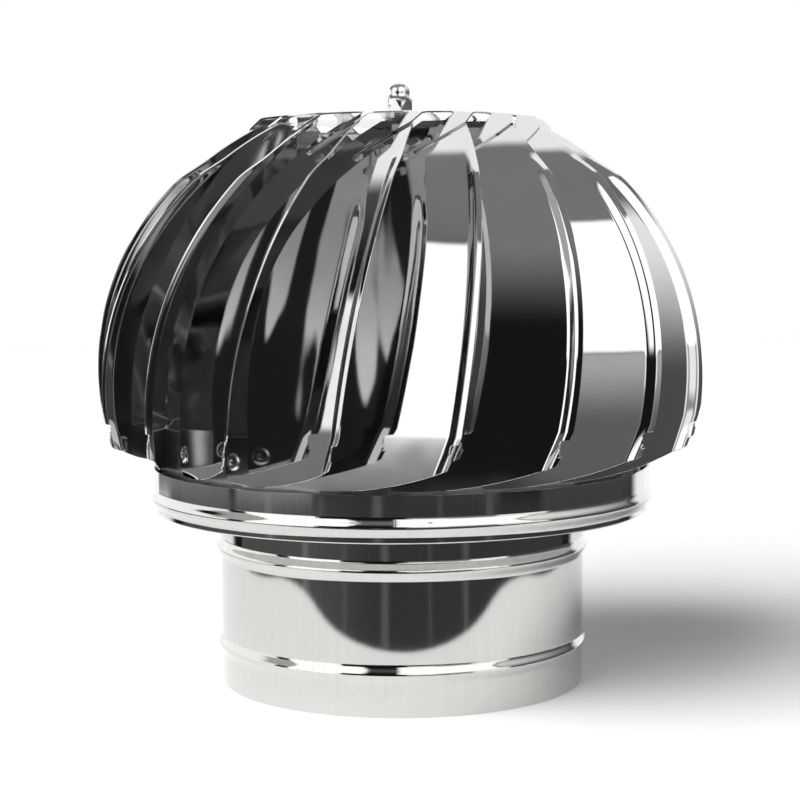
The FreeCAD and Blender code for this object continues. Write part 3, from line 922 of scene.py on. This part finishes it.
def mirror_finish(name, rough):
    material, shade, principled = new_finish(name)
    place = object_place(shade)
    haze = noise(shade, place, scale=35.0, detail=4.0, rough=0.6)
    grains = noise(shade, place, scale=900.0, detail=2.0, rough=0.6)
    wave = noise(shade, place, scale=9.0, detail=1.0, rough=0.4)
    ripple = noise(shade, place, scale=40.0, detail=1.0, rough=0.4)
    bright = ease(shade, haze, 0.3, 0.75)
    colour = blend_colour(shade, bright, MIRROR_DARK, MIRROR_LIGHT)
    # The glow is painted light that stands in for the bounces the renderer does not follow.
    base, glow = painted_bounce_light(shade, place, colour)
    shade.feed(principled.inputs["Base Color"], base)
    shade.feed(principled.inputs["Emission Color"], glow)
    principled.inputs["Emission Strength"].default_value = DIM_STRENGTH
    principled.inputs["Metallic"].default_value = 1.0
    shade.feed(principled.inputs["Roughness"], rough + HAZE_ROUGH * haze + GRAIN_ROUGH * grains)
    height = wave + RIPPLE_SHARE * ripple
    bump = shade.node("ShaderNodeBump", Height=height, Strength=WAVE_STRENGTH, Distance=WAVE_DEPTH)
    shade.feed(principled.inputs["Normal"], bump)
    return material


# %% [markdown]
# The base is the same steel less well polished. It was drawn and rolled, so its streaks run up the wall.
# Their noise is read by bearing and height instead of by place: finely round the wall and slowly up it.

# %% Drawn sheet for the base
DRAWN_DARK = (0.615, 0.605, 0.59, 1)
DRAWN_LIGHT = (0.66, 0.65, 0.635, 1)
DRAWN_ROUND = 26.0
DRAWN_UP = 6.0
STREAK_SHARE = 0.7
DRAWN_ROUGH = 0.025
STREAK_ROUGH = 0.035
SPECK_ROUGH = 0.02
STREAK_BUMP = 0.05
DRAWN_DEPTH = 0.003


def drawn_finish(name):
    material, shade, principled = new_finish(name)
    place = object_place(shade)
    split = shade.node("ShaderNodeSeparateXYZ", Vector=place)
    turn = split.math("ARCTAN2", split.out("Y"), split.out("X"))
    height = split.out("Z")
    streak_place = shade.node("ShaderNodeCombineXYZ", X=turn * DRAWN_ROUND, Y=height * DRAWN_UP, Z=0.0)
    streaks = noise(shade, streak_place, scale=3.0, detail=5.0, rough=0.65)
    specks = noise(shade, place, scale=260.0, detail=3.0, rough=0.7)
    wave = noise(shade, place, scale=11.0, detail=1.0, rough=0.4)
    tone = ease(shade, STREAK_SHARE * streaks + (1 - STREAK_SHARE) * specks, 0.32, 0.68)
    colour = blend_colour(shade, tone, DRAWN_DARK, DRAWN_LIGHT)
    shade.feed(principled.inputs["Base Color"], colour)
    principled.inputs["Metallic"].default_value = 1.0
    shade.feed(principled.inputs["Roughness"],
               DRAWN_ROUGH + STREAK_ROUGH * streaks + SPECK_ROUGH * specks)
    bump = shade.node("ShaderNodeBump", Height=wave + STREAK_BUMP * streaks,
                      Strength=WAVE_STRENGTH, Distance=DRAWN_DEPTH)
    shade.feed(principled.inputs["Normal"], bump)
    return material


# %% [markdown]
# The bar, the bearing rings and the fixings are all plain steel that differ in tone and polish, so one
# finish serves them with different numbers: clouds change the colour and fine grain breaks up the shine.

# %% Satin bar, ground rings and bright fixings
CLOUD_ROUGH = 0.12
STEEL_GRAIN_ROUGH = 0.06
GRAIN_FINER = 14
GRAIN_STRENGTH = 0.05
GRAIN_DEPTH = 0.001


def steel_finish(name, dark, light, rough, scale):
    material, shade, principled = new_finish(name)
    place = object_place(shade)
    cloud = noise(shade, place, scale=scale, detail=4.0, rough=0.6)
    grain = noise(shade, place, scale=scale * GRAIN_FINER, detail=2.0, rough=0.6)
    colour = blend_colour(shade, ease(shade, cloud, 0.3, 0.7), dark, light)
    shade.feed(principled.inputs["Base Color"], colour)
    principled.inputs["Metallic"].default_value = 1.0
    shade.feed(principled.inputs["Roughness"], rough + CLOUD_ROUGH * cloud + STEEL_GRAIN_ROUGH * grain)
    bump = shade.node("ShaderNodeBump", Height=grain, Strength=GRAIN_STRENGTH, Distance=GRAIN_DEPTH)
    shade.feed(principled.inputs["Normal"], bump)
    return material


finishes = {
    "polished_sheet": mirror_finish("mirror_sheet", rough=0.02),
    "base_sheet": drawn_finish("drawn_sheet"),
    "structure_steel": steel_finish(
        "satin_steel", dark=(0.46, 0.46, 0.45, 1), light=(0.6, 0.6, 0.59, 1), rough=0.28, scale=60),
    "bearing_steel": steel_finish(
        "ground_steel", dark=(0.56, 0.56, 0.58, 1), light=(0.68, 0.68, 0.7, 1), rough=0.16, scale=90),
    "fixings": steel_finish(
        "bright_fixings", dark=(0.66, 0.66, 0.66, 1), light=(0.8, 0.8, 0.79, 1), rough=0.1, scale=120),
}
print("finishes:", sorted(finishes))

# %% [markdown]
# Each new piece was given a slot when it was hung. A CAD node that still shows takes the slot that its
# record names.

# %% Every piece takes the finish of its slot
slot_of = {row["node"]: row["material_slot"] for row in frame["record"]["subparts"]}
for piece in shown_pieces():
    slot_name = piece.get("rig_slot") or slot_of[piece["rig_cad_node"]]
    piece.data.materials.clear()
    piece.data.materials.append(finishes[slot_name])

# %% [markdown]
# Only the outer face of the sheet was polished. The inner face keeps the softer shine of the rolling mill,
# which scatters a little of the light that enters between the vanes.

# %% The inner faces of the vanes
MILL_ROUGH = 0.04
VANE_LEAN = 0.6
INWARD = -0.3
mill = mirror_finish("mill_sheet", MILL_ROUGH)
for index, vane in enumerate(vanes):
    vane_turn = VANE_PHASE + VANE_PITCH * index
    outward = Vector((math.sin(vane_turn), -math.cos(vane_turn), VANE_LEAN))
    vane.data.materials.append(mill)
    for face in vane.data.polygons:
        face.material_index = 1 if face.normal.dot(outward) < INWARD else 0

# %% [markdown]
# ## A small studio
# A mirror has no colour of its own, so the studio is most of the picture. The world is drawn as directions:
# a soft white panel to the left, one high to the right, a dark room behind the camera and white paper at
# the back. The camera itself sees plain white. The floor is a sheet of paper that takes the shadow.

# %% The floor
FLOOR_SIDE = 3.0
PAPER_DARK = (0.93, 0.93, 0.93, 1)
PAPER_LIGHT = (0.95, 0.95, 0.95, 1)
PAPER_ROUGH = 0.9
PAPER_SHINE = 0.1
clear_selection()
bpy.ops.mesh.primitive_plane_add(size=2 * FLOOR_SIDE, location=(0, 0, 0))
floor = bpy.context.object
floor.name = "studio_floor"
floor_material, floor_shade, floor_principled = new_finish("studio_paper")
floor_place = object_place(floor_shade)
paper = noise(floor_shade, floor_place, scale=3.0, detail=2.0, rough=0.5)
paper_colour = blend_colour(floor_shade, paper, PAPER_DARK, PAPER_LIGHT)
floor_shade.feed(floor_principled.inputs["Base Color"], paper_colour)
floor_principled.inputs["Roughness"].default_value = PAPER_ROUGH
floor_principled.inputs["Specular IOR Level"].default_value = PAPER_SHINE

# %% [markdown]
# The cowl stands on a white table, and the table's edges show in the steel: beyond them the polished
# spigot mirrors the dark room. The floor is therefore left out for mirror rays that pass over the edge.

# %% The table's edges
TABLE_FRONT = -0.250
TABLE_SIDE = 0.44
TABLE_CORNER = 0.16
EDGE_SOFT = 0.006
floor_split = floor_shade.node("ShaderNodeSeparateXYZ", Vector=floor_place)
floor_x, floor_y = floor_split.out("X"), floor_split.out("Y")
side_in = floor_x.math("ABSOLUTE", floor_x) - (TABLE_SIDE - TABLE_CORNER)
front_in = (TABLE_FRONT + TABLE_CORNER) - floor_y
corner = (side_in.maximum(0.0).power(2.0) + front_in.maximum(0.0).power(2.0)).power(0.5)
past_edge = ease(floor_shade, corner, TABLE_CORNER - EDGE_SOFT, TABLE_CORNER + EDGE_SOFT)
mirror_ray = floor_shade.node("ShaderNodeLightPath").out("Is Glossy Ray")
gone = mirror_ray * past_edge
clear = floor_shade.node("ShaderNodeBsdfTransparent")
solid = Value(floor_shade, floor_principled.outputs[0], floor_principled)
mixed = floor_shade.node("ShaderNodeMixShader", i0=gone, i1=solid, i2=clear)
floor_output = next(n for n in floor_material.node_tree.nodes if n.type == "OUTPUT_MATERIAL")
floor_shade.feed(floor_output.inputs["Surface"], mixed)
floor.data.materials.append(floor_material)
print("table edges in m:", TABLE_FRONT, TABLE_SIDE)

# %% [markdown]
# A direction of the world is two angles: a bearing and a height. From those, a window of the sky is a
# product of soft steps, and a card is a window with a brightness of its own.

# %% The world as directions
DEGREES = 180 / math.pi
world = bpy.data.worlds.new("studio")
bpy.context.scene.world = world
world.use_nodes = True
sky = Shade(world.node_tree)
look = sky.node("ShaderNodeTexCoord").out("Generated")
parts = sky.node("ShaderNodeSeparateXYZ", Vector=look)
side, depth, height = parts.out("X"), parts.out("Y"), parts.out("Z")
sky_turn = parts.math("ARCTAN2", side, 0 - depth) * DEGREES
sky_lift = parts.math("ARCSINE", height) * DEGREES


def panel(turn, lift, soft):
    """A soft-edged window of the sky between two bearings and two heights, in degrees."""
    across = ease(sky, sky_turn, turn[0] - soft, turn[0] + soft)
    across = across * (1 - ease(sky, sky_turn, turn[1] - soft, turn[1] + soft))
    upright = ease(sky, sky_lift, lift[0] - soft, lift[0] + soft)
    return across * upright * (1 - ease(sky, sky_lift, lift[1] - soft, lift[1] + soft))


def hang_card(light, window, value):
    """Cover part of the sky with a card of its own brightness."""
    return light + window * (value - light)


# %% [markdown]
# Cards and soft boxes go up one over another, as they would on stands. Bearings count from the camera's
# side, with minus to the left. White boxes give the long bright panels, the empty room between them gives
# the black ones, and the grey cards soften what is between.

# %% The room, its back wall and what lies below the table
CEILING = 0.24
ROOM = 0.011
PALE = 1.2
BELOW = -7.8
LOW_BARS = ((-64, 4, 0.2), (-37, 2, 0.13), (-13, 4, 0.14), (16, 1.5, 0.11), (38, 3, 0.13))

light = CEILING * ease(sky, sky_lift, 28, 60) + ROOM
away = parts.math("ABSOLUTE", sky_turn)
back = ease(sky, away, 128, 138) * (1 - ease(sky, sky_lift, 74, 79))
light = hang_card(light, back, PALE)
low_card = panel(turn=(-120, 120), lift=(-90, BELOW), soft=0.5)
light = hang_card(light, low_card, 0.05 + 0.05 * ease(sky, sky_turn, -10, -60))
for bearing, width, grey in LOW_BARS:
    bar = panel(turn=(bearing, bearing + width), lift=(-60, BELOW), soft=0.6)
    light = hang_card(light, bar, grey)

# %% Side walls, and soft boxes on the left
WHITE = 1.6
LEFT_WALL = 1.3
LEFT_SILL = 0.25
LEFT_SCREEN = 0.52
BOX_SILL = 0.35

right_wall = panel(turn=(65, 128), lift=(-8.0, 48), soft=2)
light = hang_card(light, right_wall, 0.10 + 1.05 * ease(sky, sky_lift, 5, 44))
light = hang_card(light, panel(turn=(-150, -84), lift=(-5, 24), soft=1.5), LEFT_WALL)
light = hang_card(light, panel(turn=(-150, -84), lift=(-8.0, -5), soft=0.6), LEFT_SILL)
light = hang_card(light, panel(turn=(-98, -70), lift=(14, 46), soft=5), LEFT_SCREEN)
light = hang_card(light, panel(turn=(-80, -40), lift=(-8.0, -6.4), soft=0.4), BOX_SILL)
light = hang_card(light, panel(turn=(-74, -38), lift=(-6.6, 50), soft=0.8), WHITE)
light = hang_card(light, panel(turn=(-40, -25), lift=(18, 50), soft=1.5), WHITE)

# %% Cards and soft boxes on the right
grey_card = panel(turn=(2, 44), lift=(-7.6, 17), soft=0.6)
light = hang_card(light, grey_card, 0.16 + 0.40 * ease(sky, sky_lift, -6, 16))
light = hang_card(light, panel(turn=(43, 68), lift=(-4, 20), soft=1.5), PALE)
light = hang_card(light, panel(turn=(4, 20), lift=(8, 20), soft=1.5), PALE)
light = hang_card(light, panel(turn=(-3, 63), lift=(17.5, 61), soft=0.8), WHITE)

# %% [markdown]
# Cards that look right in a mirror light the paper too evenly. Diffuse rays therefore get only a share of
# them, and a key light high on the left, which sets the shadow. Camera rays get plain white.

# %% Light by kind of ray
CARD_SHARE = 0.2
KEY = 7.2
rays = sky.node("ShaderNodeLightPath")
seen = rays.out("Is Camera Ray")
diffuse = rays.out("Is Diffuse Ray")
key = KEY * panel(turn=(-88, -20), lift=(14, 64), soft=10)
soft_light = light * CARD_SHARE + key
strength = seen + (1 - seen) * (light + diffuse * (soft_light - light))
background = next(n for n in world.node_tree.nodes if n.type == "BACKGROUND")
background.inputs["Color"].default_value = (1, 1, 1, 1)
sky.feed(background.inputs["Strength"], strength)
print("sky nodes:", len(world.node_tree.nodes))

# %% [markdown]
# ## The camera
# The lens is given as a focal length in pixels, because that is what fitting a view to a picture gives. The
# camera stands about a metre away, a little above the middle of the cowl, and looks slightly down.

# %% The camera
LENS_F = 1900.0
PICTURE_W = 800.0
SENSOR_W = 36.0
CAMERA_PLACE = (-0.6 * MM, -1044.7 * MM, 247.1 * MM)
LOOK_DOWN = math.radians(5.14)
ROLL = math.radians(-0.39)
camera_data = bpy.data.cameras.new("camera")
camera_data.sensor_width = SENSOR_W
camera_data.lens = LENS_F / PICTURE_W * SENSOR_W
camera = bpy.data.objects.new("camera", camera_data)
bpy.context.scene.collection.objects.link(camera)
aim = Matrix.Rotation(QUARTER_TURN - LOOK_DOWN, 4, "X") @ Matrix.Rotation(ROLL, 4, "Z")
camera.matrix_world = Matrix.Translation(CAMERA_PLACE) @ aim
bpy.context.scene.camera = camera
bpy.context.scene.view_settings.view_transform = "Standard"
print("lens in mm:", round(camera_data.lens, 2))
